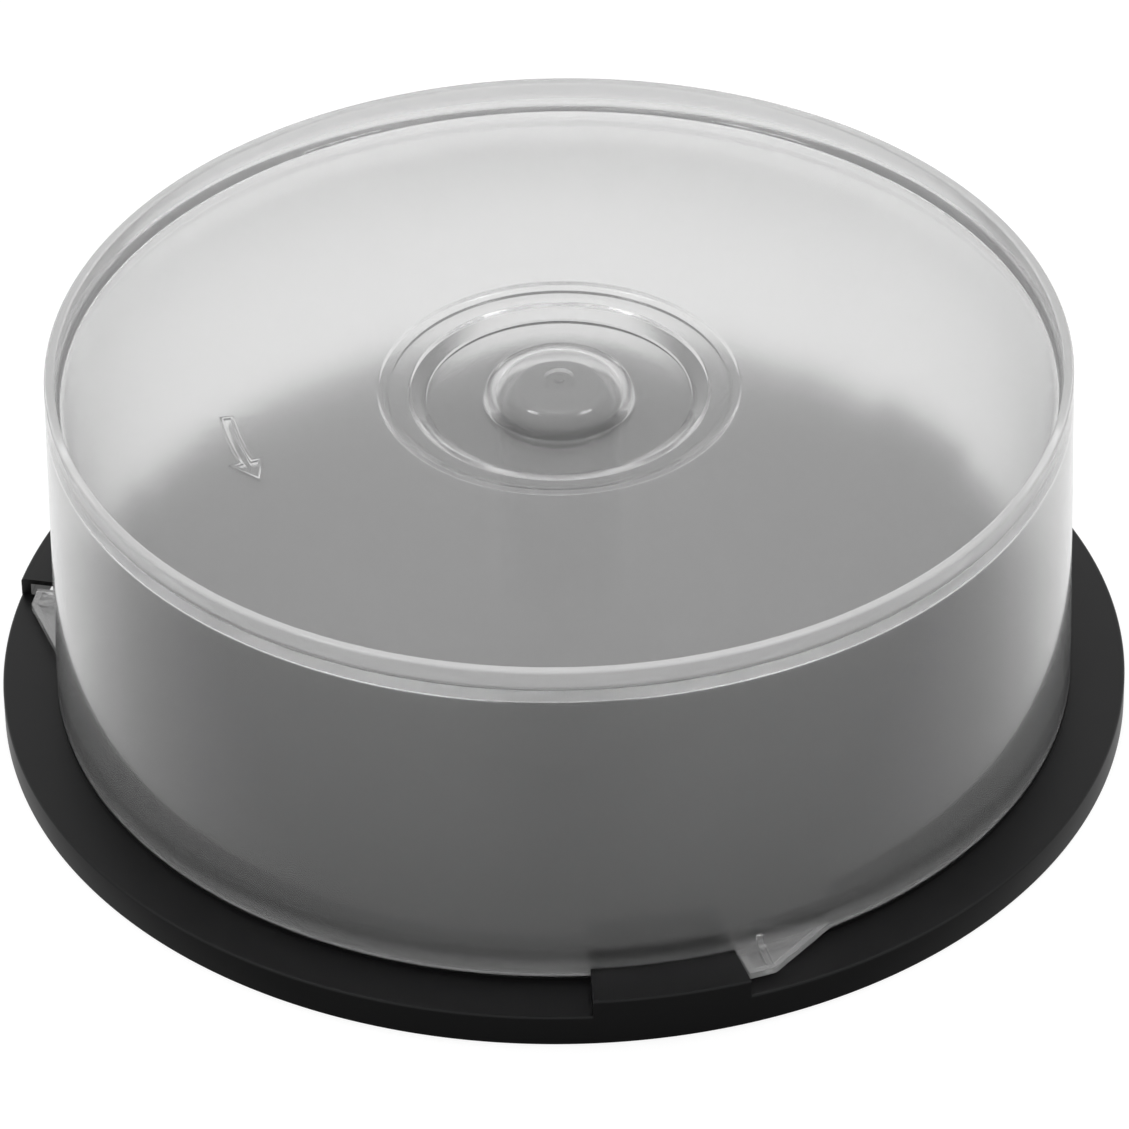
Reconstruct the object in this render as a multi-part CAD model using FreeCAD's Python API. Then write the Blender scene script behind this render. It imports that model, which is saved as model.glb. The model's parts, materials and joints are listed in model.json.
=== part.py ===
import FreeCAD, Part
import math
import os

# A cake-box case for 25 compact discs, made of two mouldings: a black base with its
# spindle, and a clear cover that drops over the spindle and turns under three hooks.
# Millimetres. The origin is at the centre of the base's foot, and +Z is up.

Vector = FreeCAD.Vector
UP = Vector(0, 0, 1)
CENTRE = Vector(0, 0, 0)

# The discs that the case is made for
DISC_R = 60.0
DISC_BORE_R = 7.5
STACK_HEIGHT = 34.0

# Moulded edges: a small rounding everywhere, cut as a flat bevel
EDGE_R = 0.35
SMALLEST_ARC = 2.6

# Fits between the discs, the base and the cover
DISC_ROOM = 1.9
SPINDLE_CLEARANCE = 0.2
COVER_CLEARANCE = 0.6
SEAT_GAP = 0.2
HOOK_CLEARANCE = 0.5
TAB_END_CLEARANCE = 1.0
TAB_TOP_CLEARANCE = 0.15
TAB_SIDE_CLEARANCE = 0.6
SPINDLE_TOP_CLEARANCE = 0.6

# Base
BASE_WALL = 1.3
FLANGE_Z = 4.3
FLANGE_WIDTH = 6.8
SEAT_LEDGE_RISE = 0.4
PLATFORM_RISE = 4.0
PLATFORM_EDGE_R = 0.6
HUB_SEAT_R = 23.5
HUB_SEAT_RISE = 0.7
SPINDLE_WALL = 1.3
SPINDLE_LEAD_HEIGHT = 2.9
SPINDLE_LEAD_DEPTH = 1.9
SPINDLE_TOP_R = 0.8

# Ribs under the base, and the ring that centres the base on the cover below it
RIB_COUNT = 12
RIB_THICKNESS = 1.0
RIB_DEPTH = 2.5
RING_RIB_R = 35.0
STACKING_CLEARANCE = 0.6
STACKING_RING_DEPTH = 2.0

# Hooks
HOOK_COUNT = 3
HOOK_MOUTH_ANGLE = -72.1
HOOK_SPAN = 15.6
HOOK_ROOF = 0.65
HOOK_END_WALL = 1.3

# Cover
COVER_WALL = 1.2
COVER_DRAFT = 0.8
PANEL = 1.2
RIM_HEIGHT = 3.8
RIM_WIDTH = 1.25
RIM_ROOT_R = 1.2
STEP_R = 22.15
STEP_WIDTH = 1.35
STEP_DEPTH = 0.55
WELL_R = 18.3
WELL_SLOPE = 2.1
WELL_DEPTH = 1.45
BOSS_R = 9.3
BOSS_DRAFT = 0.5
BOSS_HEIGHT = 3.0
BOSS_SHOULDER_R = 3.1
GATE_R = 1.9
GATE_DEPTH = 0.35
GATE_NUB_R = 0.7
GATE_NUB_HEIGHT = 0.25

# Tabs at the foot of the cover
TAB_FLOOR = 0.45
TAB_HEIGHT = 0.9
TAB_LIP = 0.75
TAB_WIDTH = 3.4
TAB_TIP_LENGTH = 10.8
GUSSET_WIDTH = 0.8
GUSSET_RISE = 1.7
GUSSET_CREST = 0.3
GUSSET_OFFSET = 2.45

# Sizes that follow from the ones above
PLATFORM_R = DISC_R + DISC_ROOM
PLATFORM_Z = FLANGE_Z + PLATFORM_RISE
SEAT_Z = PLATFORM_Z + HUB_SEAT_RISE
SPINDLE_R = DISC_BORE_R - SPINDLE_CLEARANCE
COVER_INSIDE_R = PLATFORM_R + COVER_CLEARANCE
COVER_R = COVER_INSIDE_R + COVER_WALL
COVER_TOP_R = COVER_R - COVER_DRAFT
BASE_R = COVER_R + FLANGE_WIDTH
SKIRT_INSIDE_R = BASE_R - BASE_WALL

COVER_SEAT_Z = FLANGE_Z + SEAT_LEDGE_RISE
COVER_Z = COVER_SEAT_Z + SEAT_GAP
WELL_Z = SEAT_Z + STACK_HEIGHT + PANEL
LEDGE_Z = WELL_Z + WELL_DEPTH
PANEL_Z = LEDGE_Z + STEP_DEPTH
TOP_Z = PANEL_Z + RIM_HEIGHT
BOSS_Z = WELL_Z + BOSS_HEIGHT
RIM_INSIDE_R = COVER_TOP_R - RIM_WIDTH

SPINDLE_TOP_Z = BOSS_Z - PANEL - SPINDLE_TOP_CLEARANCE
SPINDLE_LEAD_Z = SPINDLE_TOP_Z - SPINDLE_LEAD_HEIGHT
RIB_FOOT_Z = PLATFORM_Z - BASE_WALL - RIB_DEPTH

HOOK_INSIDE_R = COVER_R + HOOK_CLEARANCE
TAB_R = SKIRT_INSIDE_R - TAB_END_CLEARANCE
TAB_TOP_Z = COVER_Z + TAB_HEIGHT
HOOK_ROOF_Z = TAB_TOP_Z + TAB_TOP_CLEARANCE
HOOK_TOP_Z = HOOK_ROOF_Z + HOOK_ROOF


def polar(radius, angle, z=0.0):
    """Point at a radius and an angle in degrees about the spindle."""
    turn = math.radians(angle)
    return Vector(radius * math.cos(turn), radius * math.sin(turn), z)


def arc_angle(length, radius):
    """Angle in degrees that a length along a circle takes up."""
    return math.degrees(length / radius)


def direction(start, end):
    step = end - start
    return step * (1.0 / step.Length)


def rounding(before, corner, after, radius):
    """Start, middle and end of the arc that rounds a corner."""
    back = direction(corner, before)
    ahead = direction(corner, after)
    half = math.acos(back.dot(ahead)) / 2
    setback = radius / math.tan(half)
    bisector = direction(CENTRE, back + ahead)
    centre = corner + bisector * (radius / math.sin(half))
    return corner + back * setback, centre - bisector * radius, corner + ahead * setback


def rounded_wire(points, radii):
    """Closed wire through points, each corner rounded by its own radius.

    A rounding smaller than SMALLEST_ARC is a flat bevel between the arc's two ends.
    """
    edges = []
    ends = []
    for index, corner in enumerate(points):
        before = points[index - 1]
        after = points[(index + 1) % len(points)]
        start = end = corner
        if radii[index] > 0:
            start, middle, end = rounding(before, corner, after, radii[index])
        if radii[index] >= SMALLEST_ARC:
            edges.append(Part.Arc(start, middle, end).toShape())
        elif radii[index] > 0:
            edges.append(Part.LineSegment(start, end).toShape())
        ends.append((start, end))
    for index, (start, _) in enumerate(ends):
        edges.append(Part.LineSegment(ends[index - 1][1], start).toShape())
    return Part.Wire(Part.__sortEdges__(edges))


def turned(profile):
    """Solid of revolution from corners given as (radius, height, rounding)."""
    points = [Vector(radius, 0, z) for radius, z, _ in profile]
    wire = rounded_wire(points, [corner[2] for corner in profile])
    return Part.Face(wire).revolve(CENTRE, UP, 360)


def ring(inner, outer, low, high):
    return turned([(inner, low, 0), (outer, low, 0), (outer, high, 0), (inner, high, 0)])


def ring_sector(inner, outer, low, high, start, end):
    """Block between two radii, two heights and two angles."""
    middle = (start + end) / 2
    outside = Part.Arc(polar(outer, start, low), polar(outer, middle, low), polar(outer, end, low))
    inside = Part.Arc(polar(inner, end, low), polar(inner, middle, low), polar(inner, start, low))
    sides = [
        outside.toShape(),
        Part.LineSegment(polar(outer, end, low), polar(inner, end, low)).toShape(),
        inside.toShape(),
        Part.LineSegment(polar(inner, start, low), polar(outer, start, low)).toShape(),
    ]
    return Part.Face(Part.Wire(sides)).extrude(UP * (high - low))


def around(shape, count):
    """Copies of a shape, evenly spaced about the spindle."""
    copies = []
    for index in range(count):
        copy = shape.copy()
        copy.rotate(CENTRE, UP, index * 360.0 / count)
        copies.append(copy)
    return copies


def base_shell():
    """Skirt, flange, raised platform, hub seat and hollow spindle, turned as one wall."""
    skin = BASE_WALL
    return turned([
        (BASE_R, 0, EDGE_R),
        (BASE_R, FLANGE_Z, EDGE_R),
        (COVER_R, FLANGE_Z, 0),
        (COVER_R, COVER_SEAT_Z, 0),
        (PLATFORM_R, COVER_SEAT_Z, 0),
        (PLATFORM_R, PLATFORM_Z, PLATFORM_EDGE_R),
        (HUB_SEAT_R, PLATFORM_Z, 0),
        (HUB_SEAT_R - HUB_SEAT_RISE, SEAT_Z, 0),
        (SPINDLE_R, SEAT_Z, EDGE_R),
        (SPINDLE_R, SPINDLE_LEAD_Z, 0),
        (SPINDLE_R - SPINDLE_LEAD_DEPTH, SPINDLE_TOP_Z, SPINDLE_TOP_R),
        (0, SPINDLE_TOP_Z, 0),
        (0, SPINDLE_TOP_Z - skin, 0),
        (SPINDLE_R - SPINDLE_LEAD_DEPTH - SPINDLE_WALL, SPINDLE_TOP_Z - skin, 0),
        (SPINDLE_R - SPINDLE_WALL, SPINDLE_LEAD_Z - skin, 0),
        (SPINDLE_R - SPINDLE_WALL, RIB_FOOT_Z, 0),
        (SPINDLE_R, RIB_FOOT_Z, 0),
        (SPINDLE_R, SEAT_Z - skin, 0),
        (HUB_SEAT_R - HUB_SEAT_RISE - skin, SEAT_Z - skin, 0),
        (HUB_SEAT_R - skin, PLATFORM_Z - skin, 0),
        (PLATFORM_R - skin, PLATFORM_Z - skin, 0),
        (PLATFORM_R - skin, FLANGE_Z - skin, 0),
        (SKIRT_INSIDE_R, FLANGE_Z - skin, 0),
        (SKIRT_INSIDE_R, 0, 0),
    ])


def underside_ribs():
    """Spokes and a ring that stiffen the platform, and the ring for stacking."""
    ceiling = PLATFORM_Z - BASE_WALL / 2
    spoke_start = SPINDLE_R - SPINDLE_WALL / 2
    spoke = Part.makeBox(
        PLATFORM_R - BASE_WALL / 2 - spoke_start, RIB_THICKNESS, ceiling - RIB_FOOT_Z,
        Vector(spoke_start, -RIB_THICKNESS / 2, RIB_FOOT_Z))
    ring_rib = ring(RING_RIB_R, RING_RIB_R + RIB_THICKNESS, RIB_FOOT_Z, ceiling)
    stacking_r = COVER_TOP_R + STACKING_CLEARANCE
    stacking_top = FLANGE_Z - BASE_WALL / 2
    stacking_foot = FLANGE_Z - BASE_WALL - STACKING_RING_DEPTH
    stacking_ring = ring(stacking_r, stacking_r + RIB_THICKNESS, stacking_foot, stacking_top)
    return around(spoke, RIB_COUNT) + [ring_rib, stacking_ring]


def hook():
    """Roof, outer wall and closed end of one hook, open towards the larger angle."""
    mouth = HOOK_MOUTH_ANGLE
    closed = mouth - HOOK_SPAN
    end_wall = closed + arc_angle(HOOK_END_WALL, BASE_R)
    low = FLANGE_Z - BASE_WALL
    roof = ring_sector(HOOK_INSIDE_R, BASE_R, HOOK_ROOF_Z, HOOK_TOP_Z, closed, mouth)
    wall = ring_sector(SKIRT_INSIDE_R, BASE_R, low, HOOK_TOP_Z, closed, mouth)
    end = ring_sector(HOOK_INSIDE_R, BASE_R, low, HOOK_TOP_Z, closed, end_wall)
    body = roof.fuse([wall, end]).removeSplitter()
    top_edges = [
        edge for edge in body.Edges
        if all(abs(vertex.Z - HOOK_TOP_Z) < 1e-6 for vertex in edge.Vertexes)]
    return body.makeChamfer(EDGE_R, top_edges)


def hook_window():
    """Opening in the flange under a hook, through which the mould reaches its roof."""
    mouth = HOOK_MOUTH_ANGLE
    start = mouth - HOOK_SPAN + arc_angle(HOOK_END_WALL, BASE_R)
    return ring_sector(HOOK_INSIDE_R, SKIRT_INSIDE_R, 0, HOOK_ROOF_Z, start, mouth)


def spindle_base():
    body = base_shell().fuse(underside_ribs())
    body = body.cut(around(hook_window(), HOOK_COUNT))
    return body.fuse(around(hook(), HOOK_COUNT)).removeSplitter()


def cover_shell():
    """Drafted wall, stacking rim and stepped crown with its boss, turned as one wall."""
    lean = COVER_DRAFT / (TOP_Z - COVER_Z)
    inside_top_z = PANEL_Z - PANEL
    inside_top_r = COVER_INSIDE_R - lean * (inside_top_z - COVER_Z)
    floor_r = WELL_R - WELL_SLOPE
    boss_top_r = BOSS_R - BOSS_DRAFT
    half = PANEL / 2
    return turned([
        (COVER_R, COVER_Z, 0),
        (COVER_TOP_R, TOP_Z, EDGE_R),
        (RIM_INSIDE_R, TOP_Z, EDGE_R),
        (RIM_INSIDE_R, PANEL_Z, RIM_ROOT_R),
        (STEP_R, PANEL_Z, 0),
        (STEP_R - STEP_WIDTH, LEDGE_Z, 0),
        (WELL_R, LEDGE_Z, 0),
        (floor_r, WELL_Z, 0),
        (BOSS_R, WELL_Z, EDGE_R),
        (boss_top_r, BOSS_Z, BOSS_SHOULDER_R),
        (GATE_R, BOSS_Z, 0),
        (GATE_R - GATE_DEPTH, BOSS_Z - GATE_DEPTH, 0),
        (GATE_NUB_R, BOSS_Z - GATE_DEPTH, 0),
        (GATE_NUB_R, BOSS_Z - GATE_DEPTH + GATE_NUB_HEIGHT, 0),
        (0, BOSS_Z - GATE_DEPTH + GATE_NUB_HEIGHT, 0),
        (0, BOSS_Z - PANEL, 0),
        (boss_top_r - PANEL, BOSS_Z - PANEL, BOSS_SHOULDER_R - half),
        (BOSS_R - PANEL, WELL_Z - PANEL, 0),
        (floor_r + half, WELL_Z - PANEL, 0),
        (WELL_R + half, LEDGE_Z - PANEL, 0),
        (STEP_R - STEP_WIDTH + half, LEDGE_Z - PANEL, 0),
        (STEP_R + half, inside_top_z, 0),
        (inside_top_r, inside_top_z, EDGE_R),
        (COVER_INSIDE_R, COVER_Z, 0),
    ])


def tab_block():
    """Tab plate with its raised lip, run on into the wall so that the two fuse."""
    side = HOOK_MOUTH_ANGLE + arc_angle(TAB_SIDE_CLEARANCE, TAB_R)
    corner = side + arc_angle(TAB_WIDTH, TAB_R)
    tip = corner + arc_angle(TAB_TIP_LENGTH, COVER_R)
    root_r = COVER_INSIDE_R - TAB_WIDTH
    outer_corner = polar(TAB_R, corner, COVER_Z)
    tip_point = polar(COVER_R - COVER_WALL / 2, tip, COVER_Z)
    outside = Part.Arc(
        polar(TAB_R, side, COVER_Z), polar(TAB_R, (side + corner) / 2, COVER_Z), outer_corner)
    outline = Part.Wire([
        Part.LineSegment(polar(root_r, side, COVER_Z), polar(TAB_R, side, COVER_Z)).toShape(),
        outside.toShape(),
        Part.LineSegment(outer_corner, tip_point).toShape(),
        Part.LineSegment(tip_point, polar(root_r, tip, COVER_Z)).toShape(),
        Part.LineSegment(polar(root_r, tip, COVER_Z), polar(root_r, side, COVER_Z)).toShape(),
    ])
    block = Part.Face(outline).extrude(UP * TAB_HEIGHT)
    pocket = Part.Face(outline.makeOffset2D(-TAB_LIP)).extrude(UP * TAB_HEIGHT)
    pocket.translate(UP * TAB_FLOOR)
    return block.cut(pocket).fuse(tab_ramp(side))


def tab_ramp(side):
    """Wedge along the tab's hook side, hollowed towards the foot of the gusset."""
    height = TAB_HEIGHT - TAB_FLOOR
    sweep_r = (GUSSET_OFFSET ** 2 + height ** 2) / (2 * height)
    start_r = COVER_R - COVER_WALL / 2
    block = Part.makeBox(
        TAB_R - TAB_LIP / 2 - start_r, GUSSET_OFFSET, height,
        Vector(start_r, 0, COVER_Z + TAB_FLOOR))
    hollow = Part.makeCylinder(
        sweep_r, TAB_R, Vector(0, GUSSET_OFFSET, COVER_Z + TAB_FLOOR + sweep_r), Vector(1, 0, 0))
    ramp = block.cut(hollow)
    ramp.rotate(CENTRE, UP, side)
    return ramp


def gusset():
    """Rib from the wall down to the tab's lip, which stops the cover against the hook."""
    side = HOOK_MOUTH_ANGLE + arc_angle(TAB_SIDE_CLEARANCE, TAB_R)
    root_r = COVER_R - COVER_WALL / 2
    nose_r = TAB_R - TAB_LIP / 2
    crest_z = TAB_TOP_Z + GUSSET_RISE
    profile = rounded_wire([
        Vector(root_r, 0, COVER_Z),
        Vector(nose_r, 0, COVER_Z),
        Vector(nose_r, 0, TAB_TOP_Z),
        Vector(COVER_R + GUSSET_WIDTH, 0, TAB_TOP_Z + GUSSET_RISE / 3),
        Vector(COVER_R + GUSSET_CREST, 0, crest_z),
        Vector(root_r, 0, crest_z),
    ], [0, 0, 0, GUSSET_WIDTH, GUSSET_CREST / 2, 0])
    rib = Part.Face(profile).extrude(Vector(0, GUSSET_WIDTH, 0))
    rib.translate(Vector(0, GUSSET_OFFSET, 0))
    rib.rotate(CENTRE, UP, side)
    return rib


def cover():
    wall_middle = COVER_R - COVER_WALL / 2
    foot = tab_block().cut(Part.makeCylinder(wall_middle, TOP_Z))
    return cover_shell().fuse(around(foot, HOOK_COUNT) + around(gusset(), HOOK_COUNT)).removeSplitter()


def save(shape, name):
    solid = shape.Solids[0]
    print(name, "solids", len(shape.Solids), "valid", shape.isValid(), "volume", round(shape.Volume, 1))
    solid.exportStep("parts/" + name + ".step")


os.makedirs("parts", exist_ok=True)
save(spindle_base(), "spindle_base")
save(cover(), "cover")
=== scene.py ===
import json
import math

import bpy
from mathutils import Matrix, Vector


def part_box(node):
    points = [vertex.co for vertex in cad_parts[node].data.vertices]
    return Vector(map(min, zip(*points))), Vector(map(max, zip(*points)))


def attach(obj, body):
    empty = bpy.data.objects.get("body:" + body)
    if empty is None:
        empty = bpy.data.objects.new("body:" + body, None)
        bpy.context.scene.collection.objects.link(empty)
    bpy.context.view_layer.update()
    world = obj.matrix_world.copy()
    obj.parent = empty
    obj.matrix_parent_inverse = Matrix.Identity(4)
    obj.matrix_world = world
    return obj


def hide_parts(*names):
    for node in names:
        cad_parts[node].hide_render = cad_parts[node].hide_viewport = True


# Looks of a cake-box case for compact discs: a black base with a spindle and three
# hooks, and a translucent cover with three tabs. Metres, in the frame of the solids.

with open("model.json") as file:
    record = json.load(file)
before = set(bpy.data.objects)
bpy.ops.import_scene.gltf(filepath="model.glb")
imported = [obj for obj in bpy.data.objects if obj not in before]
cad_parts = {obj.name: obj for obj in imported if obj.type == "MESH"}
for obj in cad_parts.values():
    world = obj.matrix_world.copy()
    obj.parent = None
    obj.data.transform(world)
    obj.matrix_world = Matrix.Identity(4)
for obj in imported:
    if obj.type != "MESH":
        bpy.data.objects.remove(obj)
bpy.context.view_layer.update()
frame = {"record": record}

MM = 0.001
CENTRE = Vector((0, 0, 0))
UP = Vector((0, 0, 1))

# Sizes read from the solids
BASE_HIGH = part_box("spindle_base")[1]
COVER_LOW, COVER_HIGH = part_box("cover")
BASE_R = BASE_HIGH.x
COVER_R = COVER_HIGH.x
COVER_Z = COVER_LOW.z
TOP_Z = COVER_HIGH.z
SPINDLE_TOP_Z = BASE_HIGH.z
SPINDLE_R = frame["record"]["mounts"][1]["dims"]["r_mm"] * MM

# Base
EDGE_R = 0.35 * MM
BASE_WALL = 1.3 * MM
SKIRT_INSIDE_R = BASE_R - BASE_WALL
SEAT_GAP = 0.2 * MM
SEAT_LEDGE_RISE = 0.4 * MM
COVER_SEAT_Z = COVER_Z - SEAT_GAP
FLANGE_Z = COVER_SEAT_Z - SEAT_LEDGE_RISE
PLATFORM_R = COVER_R - 1.8 * MM
PLATFORM_Z = FLANGE_Z + 4.0 * MM
PLATFORM_EDGE_R = 0.6 * MM
HUB_SEAT_R = 23.5 * MM
HUB_SEAT_RISE = 0.7 * MM
SEAT_Z = PLATFORM_Z + HUB_SEAT_RISE
SPINDLE_LEAD_DEPTH = 1.9 * MM
SPINDLE_LEAD_Z = SPINDLE_TOP_Z - 2.9 * MM
SPINDLE_TOP_R = 0.8 * MM
RIB_COUNT = 12
RIB_THICKNESS = 1.0 * MM
RIB_FOOT_Z = PLATFORM_Z - BASE_WALL - 2.5 * MM
RING_RIB_R = 35.0 * MM
STACKING_DEPTH = 2.0 * MM
STACKING_GAP = 0.6 * MM

# Hooks: each opens at its mouth towards the larger angle
HOOK_COUNT = 3
HOOK_MOUTH = math.radians(-72.1)
HOOK_STEP = math.radians(0.6)
HOOK_STEPS = 26
HOOK_END_STEPS = 2
HOOK_INSIDE_R = COVER_R + 0.5 * MM
HOOK_ROOF_Z = COVER_Z + 1.05 * MM
HOOK_TOP_Z = HOOK_ROOF_Z + 0.65 * MM

# Cover
COVER_WALL = 1.2 * MM
PANEL = 1.2 * MM
COVER_INSIDE_R = COVER_R - COVER_WALL
COVER_TOP_R = COVER_R - 0.8 * MM
RIM_INSIDE_R = COVER_TOP_R - 1.25 * MM
RIM_ROOT_R = 1.2 * MM
PANEL_Z = TOP_Z - 3.8 * MM
LEDGE_Z = PANEL_Z - 0.55 * MM
WELL_Z = LEDGE_Z - 1.45 * MM
STEP_R = 22.15 * MM
STEP_WIDTH = 1.35 * MM
STEP_EDGE_R = 0.5 * MM
WELL_R = 18.3 * MM
WELL_SLOPE = 2.0 * MM
WELL_KERB = 0.3 * MM
BOSS_R = 9.3 * MM
BOSS_DRAFT = 0.5 * MM
BOSS_Z = WELL_Z + 3.0 * MM
BOSS_SHOULDER_R = 2.7 * MM
GATE_R = 1.9 * MM
GATE_DEPTH = 0.35 * MM
GATE_NUB_R = 0.7 * MM
GATE_NUB_HEIGHT = 0.25 * MM
GATE_EDGE_R = 0.1 * MM
KERB_EDGE_R = 0.08 * MM
FOOT_EDGE_R = 0.15 * MM
WELL_EDGE_R = 0.2 * MM

# Raised arrow on the panel, which shows the way to turn the cover to open it
ARROW_R = 41.0 * MM
ARROW_START = math.radians(188.5)
ARROW_NECK = math.radians(202.0)
ARROW_TIP = math.radians(208.0)
ARROW_HALF_WIDTH = 0.95 * MM
ARROW_HEAD_HALF_WIDTH = 2.3 * MM
ARROW_LINE = 0.5 * MM
ARROW_RISE = 0.3 * MM
ARROW_EDGE = 0.14 * MM

# Tabs at the cover's foot
TAB_R = SKIRT_INSIDE_R - 1.0 * MM
TAB_SIDE = HOOK_MOUTH + 0.6 * MM / TAB_R
TAB_FLOOR = 0.45 * MM
TAB_HEIGHT = 0.9 * MM
TAB_LIP = 0.75 * MM
TAB_WIDTH = 3.4 * MM
TAB_TIP_LENGTH = 10.8 * MM
GUSSET_WIDTH = 0.8 * MM
GUSSET_RISE = 1.7 * MM
GUSSET_CREST = 0.3 * MM
GUSSET_OFFSET = 2.45 * MM

# Fineness of round forms, and how far joined pieces sink into each other so that none
# of their faces lie in one plane
BASE_STEPS = 600
COVER_STEPS = 400
ARC_STEPS = 4
WELD = 0.002 * MM
SINK = 0.02 * MM
SMOOTH_ANGLE = math.radians(28)

# Camera and light
CAMERA_AIM = Vector((0.0003, 0, 0.0185))
CAMERA_ELEVATION = math.radians(36.80)
CAMERA_ROLL = math.radians(-0.933)
CAMERA_DISTANCE = 0.9192
CAMERA_LENS = 234.9
SENSOR_WIDTH = 36
WORLD_LEVELS = (("Is Camera Ray", 1.0), ("Is Transmission Ray", 1.0), ("Is Glossy Ray", 0.95))
WORLD_PLAIN = 0.05
FLOOR_SIZE = 4
FLOOR_TONE = 0.22
FLOOR_LEVELS = (("Is Camera Ray", 0.85), ("Is Transmission Ray", 0.68))
# Painted shade: the floor's strength in mirrored images, dark in front of the case and light behind it
FLOOR_MIRRORED_FRONT = 0.06
FLOOR_MIRRORED_REAR = 0.8
LAMPS = (
    ("top_light", (0, 0.15, 0.9), 0.9, 6.5, False),
    ("front_light", (0, -0.75, 0.4), 0.6, 3, False),
    ("left_light", (-0.75, 0.15, 0.4), 0.6, 2, False),
    ("left_glint", (-0.27, 0.135, 0.85), 0.12, 0.4, True),
    ("right_light", (0.75, 0.15, 0.4), 0.6, 2, False),
    ("right_glint", (0.27, 0.135, 0.85), 0.12, 0.4, True),
)


# Drawing and shaping

def polar(radius, angle, z=0.0):
    """Point at a radius, an angle about the spindle's axis and a height."""
    return Vector((radius * math.cos(angle), radius * math.sin(angle), z))


def rounded(corners):
    """Points of an outline in the XZ plane, from corners given as (radius, height, rounding)."""
    points = []
    places = [Vector((radius, 0, z)) for radius, z, _ in corners]
    for index, corner in enumerate(places):
        rounding = corners[index][2]
        if rounding == 0:
            points.append(corner)
            continue
        back = (places[index - 1] - corner).normalized()
        ahead = (places[(index + 1) % len(places)] - corner).normalized()
        half = back.angle(ahead) / 2
        centre = corner + (back + ahead).normalized() * rounding / math.sin(half)
        start = (corner + back * rounding / math.tan(half) - centre).normalized()
        end = (corner + ahead * rounding / math.tan(half) - centre).normalized()
        steps = ARC_STEPS if rounding < MM else 2 * ARC_STEPS
        for step in range(steps + 1):
            points.append(centre + start.slerp(end, step / steps) * rounding)
    return points


def draw(name, points):
    """New mesh with one open line through the points, left in edit mode and selected."""
    bpy.ops.object.select_all(action="DESELECT")
    bpy.ops.mesh.primitive_plane_add(size=MM, location=CENTRE)
    piece = bpy.context.object
    piece.name = piece.data.name = name
    bpy.ops.object.mode_set(mode="EDIT")
    bpy.ops.mesh.select_mode(type="VERT")
    bpy.ops.mesh.merge(type="CENTER")
    bpy.ops.transform.translate(value=points[0])
    for before, after in zip(points, points[1:]):
        bpy.ops.mesh.extrude_region_move(TRANSFORM_OT_translate={"value": after - before})
    bpy.ops.mesh.select_all(action="SELECT")
    return piece


def close_shape():
    """Merges seams and poles, turns the faces outwards and leaves edit mode."""
    bpy.ops.mesh.select_all(action="SELECT")
    bpy.ops.mesh.remove_doubles(threshold=WELD)
    bpy.ops.mesh.normals_make_consistent(inside=False)
    bpy.ops.object.mode_set(mode="OBJECT")


def turned(name, corners, steps):
    """Shell of revolution from an outline that starts and ends on the spindle's axis."""
    piece = draw(name, rounded(corners))
    bpy.ops.transform.rotate(value=-HOOK_MOUTH, orient_axis="Z", center_override=CENTRE)
    bpy.ops.mesh.spin(steps=steps, angle=math.tau, center=CENTRE, axis=-UP)
    close_shape()
    return piece


def swept(name, corners, start, step, steps):
    """Block with a section of (radius, height, rounding) corners, swept about the axis."""
    piece = draw(name, rounded(corners))
    bpy.ops.mesh.edge_face_add()
    bpy.ops.transform.rotate(value=-start, orient_axis="Z", center_override=CENTRE)
    bpy.ops.mesh.spin(steps=steps, angle=step * steps, center=CENTRE, axis=-UP)
    close_shape()
    return piece


def prism(name, points, reach):
    """Solid with a flat outline, pulled along a vector."""
    piece = draw(name, points)
    bpy.ops.mesh.edge_face_add()
    bpy.ops.mesh.extrude_region_move(TRANSFORM_OT_translate={"value": reach})
    close_shape()
    return piece


def pick(piece):
    """Selects one piece alone and makes it the active one."""
    bpy.ops.object.select_all(action="DESELECT")
    piece.select_set(True)
    bpy.context.view_layer.objects.active = piece


def turn(piece, angle):
    """Turns a piece about the spindle's axis, with its place kept in its mesh."""
    piece.rotation_euler.z = angle
    pick(piece)
    bpy.ops.object.transform_apply(location=False, rotation=True, scale=False)


def around(piece, count):
    """The piece and its copies, evenly spaced about the axis."""
    pieces = [piece]
    for index in range(1, count):
        pick(piece)
        bpy.ops.object.duplicate()
        copy = bpy.context.object
        turn(copy, index * math.tau / count)
        pieces.append(copy)
    return pieces


def combine(piece, tool, operation):
    """Applies a boolean to the piece and removes the tool."""
    modifier = piece.modifiers.new("Boolean", "BOOLEAN")
    modifier.operation = operation
    modifier.solver = "EXACT"
    modifier.object = tool
    pick(piece)
    bpy.ops.object.modifier_apply(modifier=modifier.name)
    bpy.data.objects.remove(tool)


def hollow_top(piece, line, depth):
    """Sinks the top face, but for a line of the given width along its outline."""
    bpy.ops.object.mode_set(mode="EDIT")
    bpy.ops.mesh.select_mode(type="FACE")
    bpy.ops.mesh.select_all(action="DESELECT")
    bpy.ops.object.mode_set(mode="OBJECT")
    for face in piece.data.polygons:
        face.select = face.normal.z > 0.9
    bpy.ops.object.mode_set(mode="EDIT")
    bpy.ops.mesh.inset(thickness=line)
    bpy.ops.mesh.extrude_region_move(TRANSFORM_OT_translate={"value": UP * -depth})
    bpy.ops.object.mode_set(mode="OBJECT")


def soften_edges(piece, width):
    """Rounds the sharp edges of a piece."""
    modifier = piece.modifiers.new("Bevel", "BEVEL")
    modifier.width = width
    modifier.segments = 2
    modifier.limit_method = "ANGLE"
    modifier.angle_limit = math.radians(50)
    pick(piece)
    bpy.ops.object.modifier_apply(modifier=modifier.name)


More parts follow.
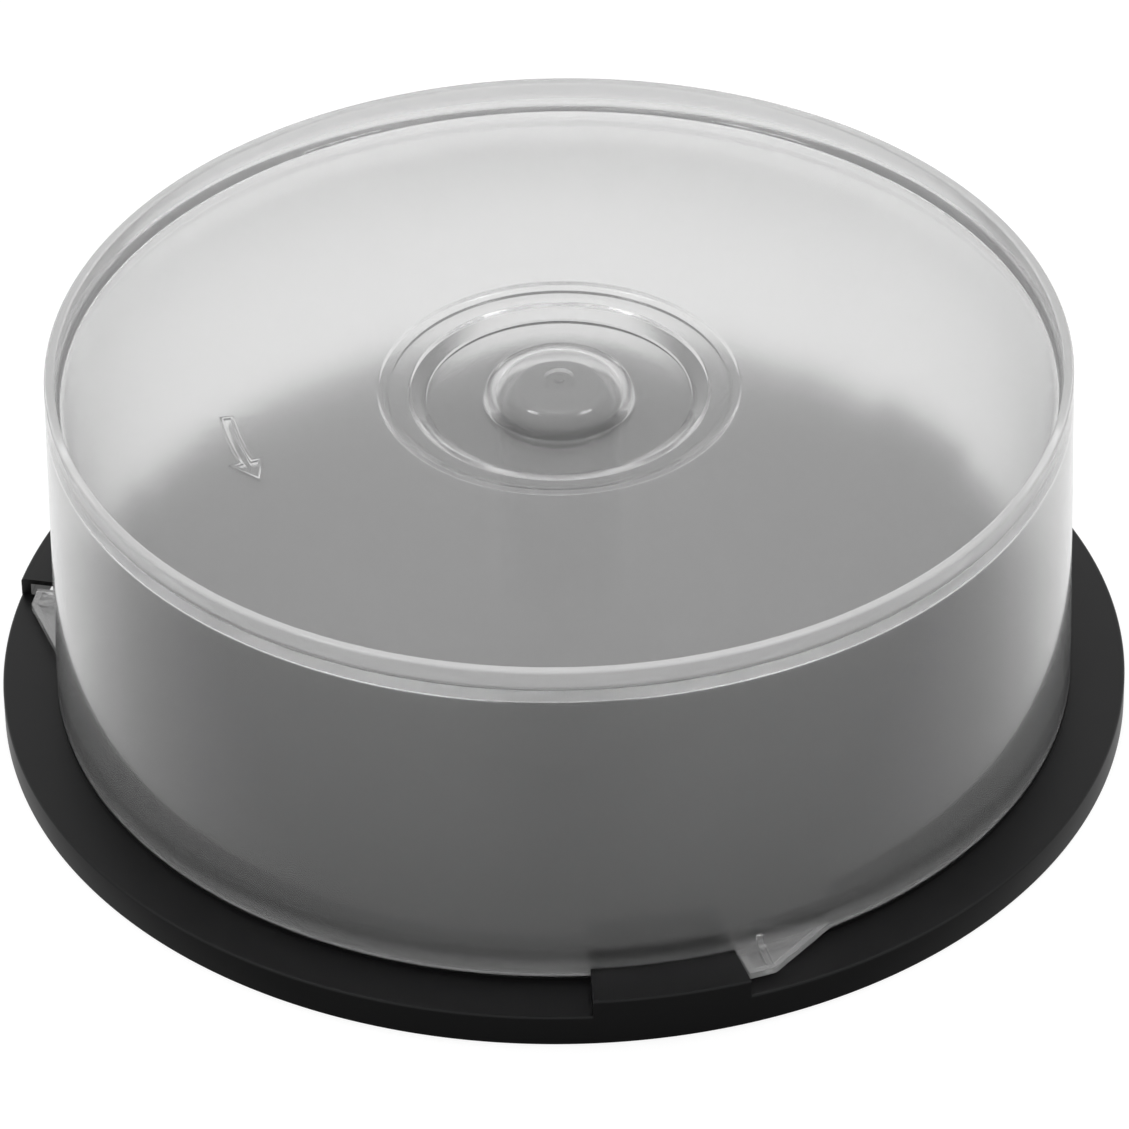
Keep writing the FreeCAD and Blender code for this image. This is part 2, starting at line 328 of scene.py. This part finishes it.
def finish_surface(piece, material):
    """Merges leftover doubles, shades the round forms smooth and gives the piece its material."""
    pick(piece)
    bpy.ops.object.mode_set(mode="EDIT")
    bpy.ops.mesh.select_all(action="SELECT")
    bpy.ops.mesh.remove_doubles(threshold=WELD)
    bpy.ops.object.mode_set(mode="OBJECT")
    bpy.ops.object.shade_smooth_by_angle(angle=SMOOTH_ANGLE)
    piece.data.materials.clear()
    piece.data.materials.append(material)


# Materials

def new_material(name):
    """Material with its nodes, its links and its one shader."""
    material = bpy.data.materials.new(name)
    material.use_nodes = True
    nodes = material.node_tree.nodes
    shader = next(node for node in nodes if node.type == "BSDF_PRINCIPLED")
    return material, nodes, material.node_tree.links, shader


def black_plastic():
    """Satin black moulding with a fine grain and slightly uneven gloss."""
    material, nodes, links, shader = new_material("black_plastic")
    shader.inputs["Base Color"].default_value = (0.004, 0.004, 0.0042, 1)
    shader.inputs["Specular IOR Level"].default_value = 0.22
    place = nodes.new("ShaderNodeTexCoord")
    patches = nodes.new("ShaderNodeTexNoise")
    patches.inputs["Scale"].default_value = 60
    patches.inputs["Detail"].default_value = 3
    gloss = nodes.new("ShaderNodeMapRange")
    gloss.inputs["To Min"].default_value = 0.34
    gloss.inputs["To Max"].default_value = 0.46
    grain = nodes.new("ShaderNodeTexNoise")
    grain.inputs["Scale"].default_value = 2600
    grain.inputs["Detail"].default_value = 2
    bump = nodes.new("ShaderNodeBump")
    bump.inputs["Strength"].default_value = 0.06
    bump.inputs["Distance"].default_value = 0.02 * MM
    links.new(place.outputs["Object"], patches.inputs["Vector"])
    links.new(place.outputs["Object"], grain.inputs["Vector"])
    links.new(patches.outputs["Fac"], gloss.inputs["Value"])
    links.new(gloss.outputs["Result"], shader.inputs["Roughness"])
    links.new(grain.outputs["Fac"], bump.inputs["Height"])
    links.new(bump.outputs["Normal"], shader.inputs["Normal"])
    return material


def frosted_plastic():
    """Clear polypropylene with a smooth skin and an even haze, made milkier in the foot and the rim as
    a painted glow for light carried through the plastic there.
    """
    material, nodes, links, shader = new_material("frosted_plastic")
    shader.inputs["Base Color"].default_value = (0.98, 0.98, 0.98, 1)
    shader.inputs["IOR"].default_value = 1.49
    shader.inputs["Coat Weight"].default_value = 0.4
    shader.inputs["Coat Roughness"].default_value = 0.03
    shader.inputs["Coat IOR"].default_value = 1.49
    place = nodes.new("ShaderNodeTexCoord")
    height = nodes.new("ShaderNodeSeparateXYZ")
    share = nodes.new("ShaderNodeMapRange")
    share.inputs["From Min"].default_value = COVER_Z
    share.inputs["From Max"].default_value = TOP_Z
    # Transmission by height: the lower values in the foot and the rim paint a glow that stands in for
    # light piped through the wall; elsewhere it is the plastic's even haze.
    clearness_with_painted_glow = nodes.new("ShaderNodeValToRGB")
    stops = clearness_with_painted_glow.color_ramp.elements
    stops[0].color = (0.8, 0.8, 0.8, 1)
    stops[1].color = (0.6, 0.6, 0.6, 1)
    for z, level in (
            (COVER_Z + TAB_HEIGHT, 0.8),
            (COVER_Z + TAB_HEIGHT + GUSSET_RISE, 0.97),
            (WELL_Z, 0.91),
            (PANEL_Z, 0.88),
            (BOSS_Z, 0.88),
            (BOSS_Z + EDGE_R, 0.72)):
        stop = stops.new((z - COVER_Z) / (TOP_Z - COVER_Z))
        stop.color = (level, level, level, 1)
    flow = nodes.new("ShaderNodeTexNoise")
    flow.inputs["Scale"].default_value = 30
    flow.inputs["Detail"].default_value = 2
    skin = nodes.new("ShaderNodeMapRange")
    skin.inputs["To Min"].default_value = 0.13
    skin.inputs["To Max"].default_value = 0.19
    links.new(place.outputs["Object"], height.inputs["Vector"])
    links.new(place.outputs["Object"], flow.inputs["Vector"])
    links.new(height.outputs["Z"], share.inputs["Value"])
    links.new(share.outputs["Result"], clearness_with_painted_glow.inputs["Fac"])
    links.new(clearness_with_painted_glow.outputs["Color"], shader.inputs["Transmission Weight"])
    links.new(flow.outputs["Fac"], skin.inputs["Value"])
    links.new(skin.outputs["Result"], shader.inputs["Roughness"])
    return material


# Pieces

def base_shell():
    """Skirt, flange, platform, hub seat and hollow spindle, with the ring ribs underneath."""
    skin = BASE_WALL
    rib_z = PLATFORM_Z - skin
    flange_under = FLANGE_Z - skin
    stack_r = COVER_TOP_R + STACKING_GAP
    stack_z = flange_under - STACKING_DEPTH
    return turned("base_moulding", [
        (0, SPINDLE_TOP_Z, 0),
        (SPINDLE_R - SPINDLE_LEAD_DEPTH, SPINDLE_TOP_Z, SPINDLE_TOP_R),
        (SPINDLE_R, SPINDLE_LEAD_Z, 0),
        (SPINDLE_R, SEAT_Z, EDGE_R),
        (HUB_SEAT_R - HUB_SEAT_RISE, SEAT_Z, 0),
        (HUB_SEAT_R, PLATFORM_Z, 0),
        (PLATFORM_R, PLATFORM_Z, PLATFORM_EDGE_R),
        (PLATFORM_R, COVER_SEAT_Z, 0),
        (COVER_R, COVER_SEAT_Z, 0),
        (COVER_R, FLANGE_Z, 0),
        (BASE_R, FLANGE_Z, EDGE_R),
        (BASE_R, 0, EDGE_R),
        (SKIRT_INSIDE_R, 0, 0),
        (SKIRT_INSIDE_R, flange_under, 0),
        (stack_r + RIB_THICKNESS, flange_under, 0),
        (stack_r + RIB_THICKNESS, stack_z, 0),
        (stack_r, stack_z, 0),
        (stack_r, flange_under, 0),
        (PLATFORM_R - skin, flange_under, 0),
        (PLATFORM_R - skin, rib_z, 0),
        (RING_RIB_R + RIB_THICKNESS, rib_z, 0),
        (RING_RIB_R + RIB_THICKNESS, RIB_FOOT_Z, 0),
        (RING_RIB_R, RIB_FOOT_Z, 0),
        (RING_RIB_R, rib_z, 0),
        (HUB_SEAT_R - skin, rib_z, 0),
        (HUB_SEAT_R - HUB_SEAT_RISE - skin, SEAT_Z - skin, 0),
        (SPINDLE_R, SEAT_Z - skin, 0),
        (SPINDLE_R, RIB_FOOT_Z, 0),
        (SPINDLE_R - skin, RIB_FOOT_Z, 0),
        (SPINDLE_R - skin, SPINDLE_LEAD_Z - skin, 0),
        (SPINDLE_R - SPINDLE_LEAD_DEPTH - skin, SPINDLE_TOP_Z - skin, 0),
        (0, SPINDLE_TOP_Z - skin, 0),
    ], BASE_STEPS)


def spokes():
    """Ribs under the platform, from the spindle's socket to the platform's side."""
    half = RIB_THICKNESS / 2
    start = SPINDLE_R - BASE_WALL / 2
    end = PLATFORM_R - BASE_WALL / 2
    foot = RIB_FOOT_Z + SINK
    spoke = prism("spoke", [
        Vector((start, -half, foot)),
        Vector((end, -half, foot)),
        Vector((end, half, foot)),
        Vector((start, half, foot)),
    ], UP * (PLATFORM_Z - BASE_WALL / 2 - foot))
    return around(spoke, RIB_COUNT)


def block(name, inner, outer, low, high, rounding, start, steps):
    """Sector of a ring with rounded upper edges, from a start angle to smaller angles."""
    return swept(name, [
        (inner, low, 0),
        (outer, low, 0),
        (outer, high, rounding),
        (inner, high, rounding),
    ], start, -HOOK_STEP, steps)


def hook_windows():
    """Openings in the flange below the hooks' roofs."""
    window = block(
        "hook_window", HOOK_INSIDE_R, SKIRT_INSIDE_R + SINK, -MM, FLANGE_Z + MM, 0,
        HOOK_MOUTH, HOOK_STEPS - 1)
    return around(window, HOOK_COUNT)


def hooks():
    """Three blocks, each hollowed from its mouth up to a roof, an outer wall and a closed end."""
    low = FLANGE_Z - BASE_WALL / 2
    hook = block(
        "hook", HOOK_INSIDE_R - SINK, BASE_R - SINK, low, HOOK_TOP_Z, EDGE_R, HOOK_MOUTH, HOOK_STEPS)
    hollow = block(
        "hook_hollow", COVER_R, SKIRT_INSIDE_R + 2 * SINK, 0, HOOK_ROOF_Z, 0,
        HOOK_MOUTH + HOOK_STEP, HOOK_STEPS + 1 - HOOK_END_STEPS)
    combine(hook, hollow, "DIFFERENCE")
    return around(hook, HOOK_COUNT)


def spindle_base(material):
    """The whole base: the turned shell with its spokes, hook windows and hooks."""
    base = base_shell()
    for spoke in spokes():
        combine(base, spoke, "UNION")
    for window in hook_windows():
        combine(base, window, "DIFFERENCE")
    for hook in hooks():
        combine(base, hook, "UNION")
    finish_surface(base, material)
    return base


def offset(rise, run):
    """How far a corner shifts on the inner skin of a slope, so that the wall keeps its thickness."""
    return PANEL * math.tan(math.atan2(rise, run) / 2)


def cover_shell():
    """Wall, stacking rim and stepped crown, from the gate mark out to the rim and back inside."""
    lean = (COVER_R - COVER_TOP_R) / (TOP_Z - COVER_Z)
    inside_top_z = PANEL_Z - PANEL
    inside_top_r = COVER_INSIDE_R - lean * (inside_top_z - COVER_Z)
    kerb_r = WELL_R - WELL_SLOPE
    kerb_z = WELL_Z + WELL_KERB
    boss_top_r = BOSS_R - BOSS_DRAFT
    step = offset(PANEL_Z - LEDGE_Z, STEP_WIDTH)
    well = offset(LEDGE_Z - kerb_z, WELL_SLOPE)
    return turned("cover_moulding", [
        (0, BOSS_Z - GATE_DEPTH + GATE_NUB_HEIGHT, 0),
        (GATE_NUB_R, BOSS_Z - GATE_DEPTH + GATE_NUB_HEIGHT, GATE_EDGE_R),
        (GATE_NUB_R, BOSS_Z - GATE_DEPTH, 0),
        (GATE_R - GATE_DEPTH, BOSS_Z - GATE_DEPTH, GATE_EDGE_R),
        (GATE_R, BOSS_Z, FOOT_EDGE_R),
        (boss_top_r, BOSS_Z, BOSS_SHOULDER_R),
        (BOSS_R, WELL_Z, WELL_EDGE_R),
        (kerb_r, WELL_Z, KERB_EDGE_R),
        (kerb_r, kerb_z, KERB_EDGE_R),
        (WELL_R, LEDGE_Z, WELL_EDGE_R),
        (STEP_R - STEP_WIDTH, LEDGE_Z, STEP_EDGE_R),
        (STEP_R, PANEL_Z, STEP_EDGE_R),
        (RIM_INSIDE_R, PANEL_Z, RIM_ROOT_R),
        (RIM_INSIDE_R, TOP_Z, EDGE_R),
        (COVER_TOP_R, TOP_Z, EDGE_R),
        (COVER_R, COVER_Z, FOOT_EDGE_R),
        (COVER_INSIDE_R, COVER_Z, FOOT_EDGE_R),
        (inside_top_r, inside_top_z, EDGE_R),
        (STEP_R + step, inside_top_z, STEP_EDGE_R),
        (STEP_R - STEP_WIDTH + step, LEDGE_Z - PANEL, STEP_EDGE_R),
        (WELL_R + well, LEDGE_Z - PANEL, WELL_EDGE_R),
        (kerb_r + well, WELL_Z - PANEL, WELL_EDGE_R),
        (BOSS_R - PANEL, WELL_Z - PANEL, WELL_EDGE_R),
        (boss_top_r - PANEL, BOSS_Z - PANEL, BOSS_SHOULDER_R - PANEL),
        (0, BOSS_Z - PANEL, 0),
    ], COVER_STEPS)


def tab_plate():
    """Plate with a raised lip round a shallow pocket, cut to start inside the wall."""
    corner = TAB_SIDE + TAB_WIDTH / TAB_R
    tip = corner + TAB_TIP_LENGTH / COVER_R
    wall_middle = COVER_R - COVER_WALL / 2
    root_r = COVER_INSIDE_R - TAB_WIDTH
    foot = COVER_Z + SINK
    plate = prism("tab", [
        polar(root_r, TAB_SIDE, foot),
        polar(TAB_R, TAB_SIDE, foot),
        polar(TAB_R, corner, foot),
        polar(wall_middle, tip, foot),
        polar(root_r, tip, foot),
    ], UP * (TAB_HEIGHT - SINK))
    hollow_top(plate, TAB_LIP, TAB_HEIGHT - TAB_FLOOR)
    combine(plate, wall_core(), "DIFFERENCE")
    return plate


def wall_core():
    """Cylinder that fills the cover up to the middle of its wall."""
    bpy.ops.object.select_all(action="DESELECT")
    bpy.ops.mesh.primitive_cylinder_add(
        vertices=COVER_STEPS, radius=COVER_R - COVER_WALL / 2 - SINK, depth=TOP_Z * 2, location=CENTRE)
    return bpy.context.object


def tab_ramp():
    """Wedge along the tab's hook side, hollowed towards the foot of the gusset."""
    rise = TAB_HEIGHT - TAB_FLOOR - SINK
    sweep_r = (GUSSET_OFFSET ** 2 + rise ** 2) / (2 * rise)
    sweep = math.asin(GUSSET_OFFSET / sweep_r)
    start_r = COVER_R - COVER_WALL / 2
    end_r = TAB_R - TAB_LIP / 2
    floor_z = COVER_Z + TAB_FLOOR
    foot = floor_z - TAB_FLOOR / 2
    points = [
        Vector((start_r, GUSSET_OFFSET + GUSSET_WIDTH / 2, floor_z)),
        Vector((start_r, GUSSET_OFFSET + GUSSET_WIDTH / 2, foot)),
        Vector((start_r, SINK, foot)),
        Vector((start_r, SINK, floor_z + rise)),
    ]
    for step in range(1, 2 * ARC_STEPS + 1):
        angle = sweep * (1 - step / (2 * ARC_STEPS))
        points.append(Vector((
            start_r,
            GUSSET_OFFSET - sweep_r * math.sin(angle),
            floor_z + sweep_r * (1 - math.cos(angle)))))
    ramp = prism("tab_ramp", points, Vector((end_r - start_r, 0, 0)))
    turn(ramp, TAB_SIDE)
    return ramp


def gusset():
    """Rib from the wall down to the tab's lip, which stops the cover against the hook."""
    root_r = COVER_R - COVER_WALL / 2 + SINK
    nose_r = TAB_R - TAB_LIP / 2 + SINK
    tab_top = COVER_Z + TAB_HEIGHT
    crest_z = tab_top + GUSSET_RISE
    foot = COVER_Z + TAB_FLOOR / 3
    points = rounded([
        (root_r, foot, 0),
        (nose_r, foot, 0),
        (nose_r, tab_top + SINK, FOOT_EDGE_R),
        (COVER_R + GUSSET_WIDTH, tab_top + GUSSET_RISE / 3, GUSSET_WIDTH),
        (COVER_R + GUSSET_CREST, crest_z, GUSSET_CREST / 2),
        (root_r, crest_z, 0),
    ])
    rib = prism("gusset", points, Vector((0, GUSSET_WIDTH, 0)))
    bpy.ops.object.mode_set(mode="EDIT")
    bpy.ops.mesh.select_all(action="SELECT")
    bpy.ops.transform.translate(value=(0, GUSSET_OFFSET, 0))
    bpy.ops.object.mode_set(mode="OBJECT")
    turn(rib, TAB_SIDE)
    return rib


def arrow():
    """Curved arrow drawn with one raised line along its outline."""
    foot = PANEL_Z - PANEL / 4
    outer = []
    inner = []
    for step in range(2 * ARC_STEPS + 1):
        angle = ARROW_START + (ARROW_NECK - ARROW_START) * step / (2 * ARC_STEPS)
        outer.append(polar(ARROW_R + ARROW_HALF_WIDTH, angle, foot))
        inner.append(polar(ARROW_R - ARROW_HALF_WIDTH, angle, foot))
    head = [
        polar(ARROW_R + ARROW_HEAD_HALF_WIDTH, ARROW_NECK, foot),
        polar(ARROW_R, ARROW_TIP, foot),
        polar(ARROW_R - ARROW_HEAD_HALF_WIDTH, ARROW_NECK, foot),
    ]
    raised = prism("arrow", outer + head + inner[::-1], UP * (PANEL_Z + ARROW_RISE - foot))
    hollow_top(raised, ARROW_LINE, ARROW_RISE - SINK)
    soften_edges(raised, ARROW_EDGE)
    return raised


def cover(material):
    """The whole cover: the turned shell with the raised arrow and three tabs."""
    shell = cover_shell()
    combine(shell, arrow(), "UNION")
    tab = tab_plate()
    combine(tab, tab_ramp(), "UNION")
    combine(tab, gusset(), "UNION")
    for each in around(tab, HOOK_COUNT):
        combine(shell, each, "UNION")
    finish_surface(shell, material)
    return shell


# Stage

def by_ray(tree, levels, plain):
    """Strength that depends on the kind of ray that sees a surface, and is plain for matt ones."""
    path = tree.nodes.new("ShaderNodeLightPath")
    strength = None
    for ray, level in levels:
        part = tree.nodes.new("ShaderNodeMath")
        part.operation = "MULTIPLY"
        part.inputs[1].default_value = level
        tree.links.new(path.outputs[ray], part.inputs[0])
        larger = tree.nodes.new("ShaderNodeMath")
        larger.operation = "MAXIMUM"
        larger.inputs[1].default_value = plain
        tree.links.new(part.outputs["Value"], larger.inputs[0])
        if strength:
            tree.links.new(strength, larger.inputs[1])
        strength = larger.outputs["Value"]
    return strength


def world_light():
    """White surroundings to be seen and reflected, with plainer light on matt surfaces."""
    world = bpy.data.worlds.new("studio")
    bpy.context.scene.world = world
    world.use_nodes = True
    background = world.node_tree.nodes["Background"]
    background.inputs["Color"].default_value = (1, 1, 1, 1)
    strength = by_ray(world.node_tree, WORLD_LEVELS, WORLD_PLAIN)
    world.node_tree.links.new(strength, background.inputs["Strength"])


def lamp(name, place, size, power, mirrored):
    """Square soft box that faces the object, mirrored in its gloss or not."""
    light = bpy.data.lights.new(name, "AREA")
    light.size = size
    light.energy = power
    holder = bpy.data.objects.new(name, light)
    bpy.context.scene.collection.objects.link(holder)
    holder.location = place
    holder.rotation_euler = (-Vector(place)).to_track_quat("-Z", "Y").to_euler()
    holder.visible_camera = False
    holder.visible_glossy = mirrored
    holder.visible_transmission = mirrored


def mirrored_floor(tree):
    """Strength of the floor in mirrored images alone, low in front and high behind: painted shade in
    front of the case, which darkens the cover's front wall where it mirrors the floor.
    """
    path = tree.nodes.new("ShaderNodeLightPath")
    reflected = tree.nodes.new("ShaderNodeMath")
    reflected.operation = "SUBTRACT"
    reflected.use_clamp = True
    place = tree.nodes.new("ShaderNodeTexCoord")
    depth = tree.nodes.new("ShaderNodeSeparateXYZ")
    level = tree.nodes.new("ShaderNodeMapRange")
    level.inputs["From Min"].default_value = -COVER_R
    level.inputs["From Max"].default_value = 0
    level.inputs["To Min"].default_value = FLOOR_MIRRORED_FRONT
    level.inputs["To Max"].default_value = FLOOR_MIRRORED_REAR
    strength = tree.nodes.new("ShaderNodeMath")
    strength.operation = "MULTIPLY"
    tree.links.new(path.outputs["Is Glossy Ray"], reflected.inputs[0])
    tree.links.new(path.outputs["Is Transmission Ray"], reflected.inputs[1])
    tree.links.new(place.outputs["Object"], depth.inputs["Vector"])
    tree.links.new(depth.outputs["Y"], level.inputs["Value"])
    tree.links.new(reflected.outputs["Value"], strength.inputs[0])
    tree.links.new(level.outputs["Result"], strength.inputs[1])
    return strength.outputs["Value"]


def white_floor():
    """Plain floor that shows white and keeps the object's soft shadow; in mirrored images it carries
    painted shade in front of the case.
    """
    bpy.ops.object.select_all(action="DESELECT")
    bpy.ops.mesh.primitive_plane_add(size=FLOOR_SIZE, location=CENTRE)
    floor = bpy.context.object
    floor.name = "floor"
    material, nodes, links, shader = new_material("floor_white")
    shader.inputs["Base Color"].default_value = (FLOOR_TONE, FLOOR_TONE, FLOOR_TONE, 1)
    shader.inputs["Roughness"].default_value = 1
    shader.inputs["Specular IOR Level"].default_value = 0
    shader.inputs["Emission Color"].default_value = (1, 1, 1, 1)
    total = nodes.new("ShaderNodeMath")
    links.new(by_ray(material.node_tree, FLOOR_LEVELS, 0), total.inputs[0])
    links.new(mirrored_floor(material.node_tree), total.inputs[1])
    links.new(total.outputs["Value"], shader.inputs["Emission Strength"])
    floor.data.materials.append(material)


def camera():
    """Long lens from the front, a little above, turned as the photograph is."""
    view = bpy.data.cameras.new("camera")
    view.lens = CAMERA_LENS
    view.sensor_width = SENSOR_WIDTH
    view.clip_end = 10 * CAMERA_DISTANCE
    holder = bpy.data.objects.new("camera", view)
    bpy.context.scene.collection.objects.link(holder)
    tilt = Matrix.Rotation(math.pi / 2 - CAMERA_ELEVATION, 4, "X")
    roll = Matrix.Rotation(CAMERA_ROLL, 4, "Z")
    back = tilt @ Vector((0, 0, CAMERA_DISTANCE))
    holder.matrix_world = Matrix.Translation(CAMERA_AIM + back) @ tilt @ roll
    bpy.context.scene.camera = holder


base_piece = spindle_base(black_plastic())
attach(base_piece, "base")
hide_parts("spindle_base")

cover_piece = cover(frosted_plastic())
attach(cover_piece, "cover")
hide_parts("cover")

white_floor()
world_light()
for setting in LAMPS:
    lamp(*setting)
camera()
bpy.context.scene.view_settings.view_transform = "Standard"
